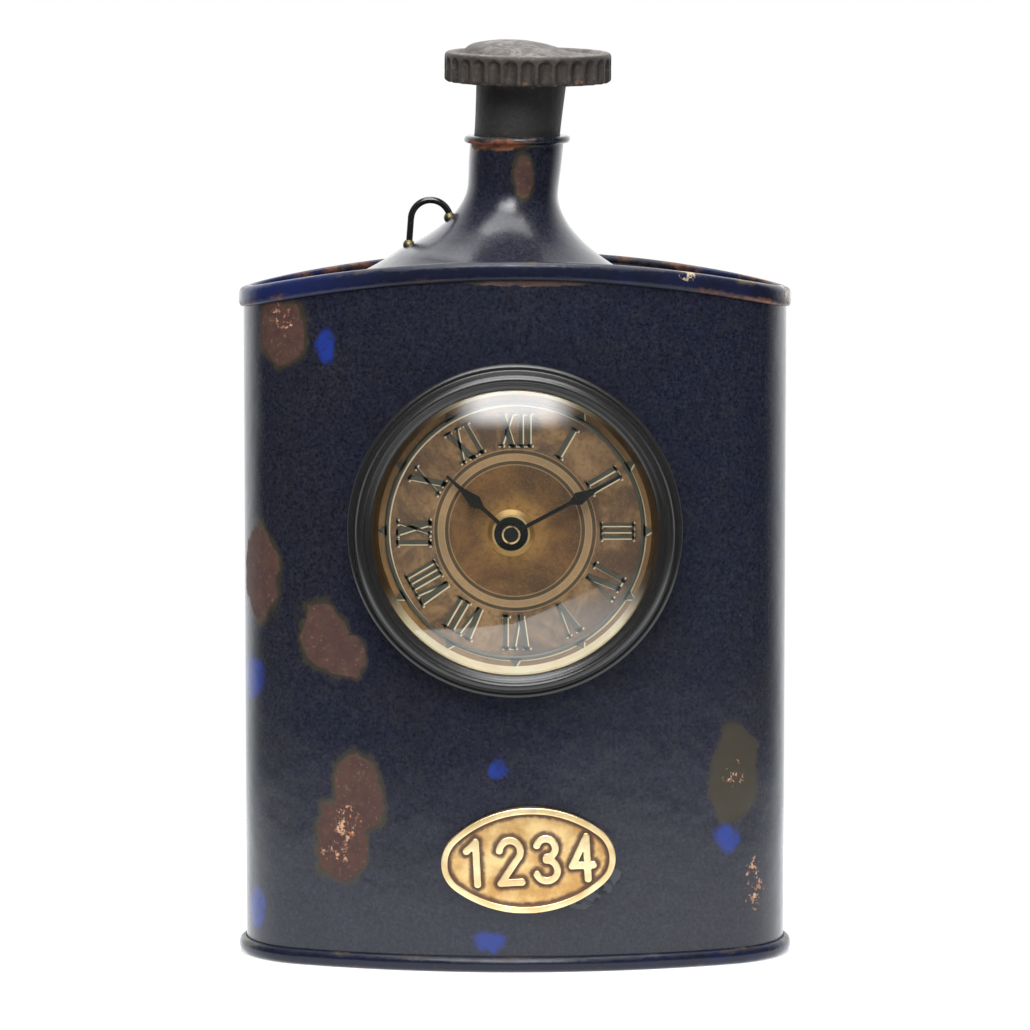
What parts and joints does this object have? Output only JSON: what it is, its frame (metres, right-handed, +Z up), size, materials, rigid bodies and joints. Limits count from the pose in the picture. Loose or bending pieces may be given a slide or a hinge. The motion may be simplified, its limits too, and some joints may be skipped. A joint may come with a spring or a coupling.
{
  "type": "bottle-shaped clock",
  "caption": "Oval enamelled tin flask with a leaning neck and fluted stopper, a round quartz clock set in its front and an oval brass number plate.",
  "frame": {"origin": "middle of the flat bottom, on the surface that the flask stands on", "axes": "+Z up, the dial faces -Y, +X to the viewer's right"},
  "size_m": [0.148, 0.0795, 0.2433],
  "materials": {
    "enamel": "glossy dark navy enamel, chipped and stained",
    "rim_enamel": "glossy blue enamel with rust",
    "wire": "dark glossy wire",
    "solder": "dull solder",
    "plate_brass": "aged cast brass",
    "adhesive": "clear glue, dusty",
    "stopper": "old moulded rubber, dusty",
    "rubber": "matte",
    "bezel": "polished black",
    "case_plastic": "matte grey-brown",
    "glass": "clear",
    "bright_brass": "polished",
    "dial": "antique bronze, mottled",
    "hands": "black",
    "wheel_brass": "satin",
    "wheel_plastic": "satin",
    "movement_plastic": "fine grain",
    "steel": "satin",
    "magnet": "sintered",
    "copper": "enamelled copper wire",
    "board": "green circuit board",
    "battery_steel": "plain steel jacket"
  },
  "bodies": {
    "flask": {"body_shell": "enamel", "shoulder": "enamel", "neck": "enamel", "top_rim": "rim_enamel", "base_plate": "enamel", "base_rim": "rim_enamel", "wire_loop": "wire", "loop_solder": "solder", "number_plate": "plate_brass", "plate_adhesive": "adhesive"},
    "seal": {"seal_ring": "rubber"},
    "stopper": {"stopper": "stopper"},
    "insert": {"bezel": "bezel", "crystal": "glass", "rehaut_ring": "bright_brass", "dial": "dial", "fixing_nut": "bright_brass", "rubber_washer": "rubber", "insert_can": "case_plastic", "gasket": "rubber", "movement_case": "movement_plastic", "rear_cover": "movement_plastic", "train_plate": "wheel_brass", "train_screws": "steel", "stator": "steel", "coil_bobbin": "wheel_plastic", "coil_winding": "copper", "circuit_board": "board", "quartz_can": "steel", "contact_positive": "steel", "contact_negative": "steel"},
    "minute": {"minute_hand": "hands", "cap_nut": "hands", "centre_wheel": "wheel_brass"},
    "hour": {"hour_hand": "hands", "hour_wheel": "wheel_brass"},
    "idler": {"minute_wheel": "wheel_plastic"},
    "third": {"third_wheel": "wheel_plastic"},
    "rotor": {"rotor_pinion": "wheel_plastic", "rotor_magnet": "magnet"},
    "setting": {"setting_knob": "movement_plastic"},
    "battery": {"battery": "battery_steel"}
  },
  "joints": [
    {"name": "seal_slide", "type": "slide", "parent": "flask", "child": "seal", "axis": [0.0784, -0.0349, 0.9963], "range_m": [0, 0.022]},
    {"name": "stopper_turn", "type": "hinge", "parent": "seal", "child": "stopper", "pos_m": [-0.002, 0, 0.1856], "axis": [0.0784, -0.0349, 0.9963], "continuous": true},
    {"name": "insert_slide", "type": "slide", "parent": "flask", "child": "insert", "axis": [0, -1, 0], "range_m": [0, 0.045]},
    {"name": "minute_turn", "type": "hinge", "parent": "insert", "child": "minute", "pos_m": [-0.001, -0.034, 0.1154], "axis": [0, 1, 0], "continuous": true},
    {"name": "hour_turn", "type": "hinge", "parent": "insert", "child": "hour", "pos_m": [-0.001, -0.034, 0.1154], "axis": [0, 1, 0], "continuous": true},
    {"name": "idler_turn", "type": "hinge", "parent": "insert", "child": "idler", "pos_m": [0.0086, -0.034, 0.1154], "axis": [0, 1, 0], "continuous": true},
    {"name": "third_turn", "type": "hinge", "parent": "insert", "child": "third", "pos_m": [-0.00625, -0.034, 0.12449], "axis": [0, 1, 0], "continuous": true},
    {"name": "rotor_turn", "type": "hinge", "parent": "insert", "child": "rotor", "pos_m": [-0.00175, -0.034, 0.13229], "axis": [0, 1, 0], "continuous": true},
    {"name": "setting_turn", "type": "hinge", "parent": "insert", "child": "setting", "pos_m": [0.01691, -0.034, 0.1202], "axis": [0, 1, 0], "continuous": true},
    {"name": "battery_slide", "type": "slide", "parent": "insert", "child": "battery", "axis": [0, 1, 0], "range_m": [0, 0.02]}
  ],
  "couplings": [
    {"joint": "hour_turn", "follows": "minute_turn", "ratio": 0.083333},
    {"joint": "idler_turn", "follows": "minute_turn", "ratio": -0.33333},
    {"joint": "setting_turn", "follows": "minute_turn", "ratio": 1},
    {"joint": "third_turn", "follows": "minute_turn", "ratio": -6},
    {"joint": "rotor_turn", "follows": "minute_turn", "ratio": 30}
  ]
}
